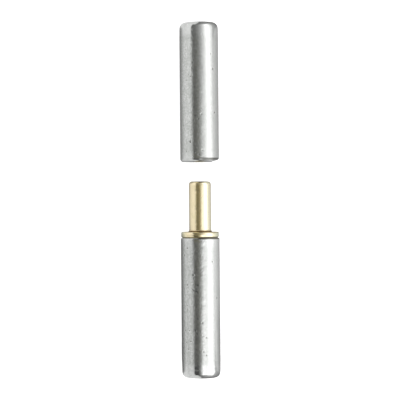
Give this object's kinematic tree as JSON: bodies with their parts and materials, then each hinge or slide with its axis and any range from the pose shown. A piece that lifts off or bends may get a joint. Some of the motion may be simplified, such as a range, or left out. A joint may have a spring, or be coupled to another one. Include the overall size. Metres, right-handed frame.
{
  "type": "weld-on barrel hinge",
  "caption": "Lift-off hinge: two bored round steel barrels, a brass pin pressed into one and a brass thrust washer. Each barrel is welded along its side; shown pulled apart.",
  "frame": {"origin": "on the surface under the hinge, midway between the mouths of the two barrels; the hinge lies on its side with its halves pulled apart", "axes": "+Y along the pin, from the lower barrel to the upper one, so +Y is up once the hinge is welded in place; +Z up as it lies"},
  "size_m": [0.014, 0.1282, 0.014],
  "materials": {
    "bright_steel": "bright drawn bar, uncoated, with fine pits and handling marks",
    "pin_brass": "drawn and polished",
    "washer_brass": "turned, slightly duller than the pin"
  },
  "bodies": {
    "lower_half": {"lower_barrel": "bright_steel", "hinge_pin": "pin_brass"},
    "washer": {"thrust_washer": "washer_brass"},
    "upper_half": {"upper_barrel": "bright_steel"}
  },
  "joints": [
    {"name": "swing", "type": "hinge", "parent": "lower_half", "child": "washer", "pos_m": [0, -0.01372, 0.007], "axis": [0, 1, 0], "continuous": true},
    {"name": "lift_off", "type": "slide", "parent": "washer", "child": "upper_half", "axis": [0, 1, 0], "range_m": [-0.02515, 0]}
  ]
}
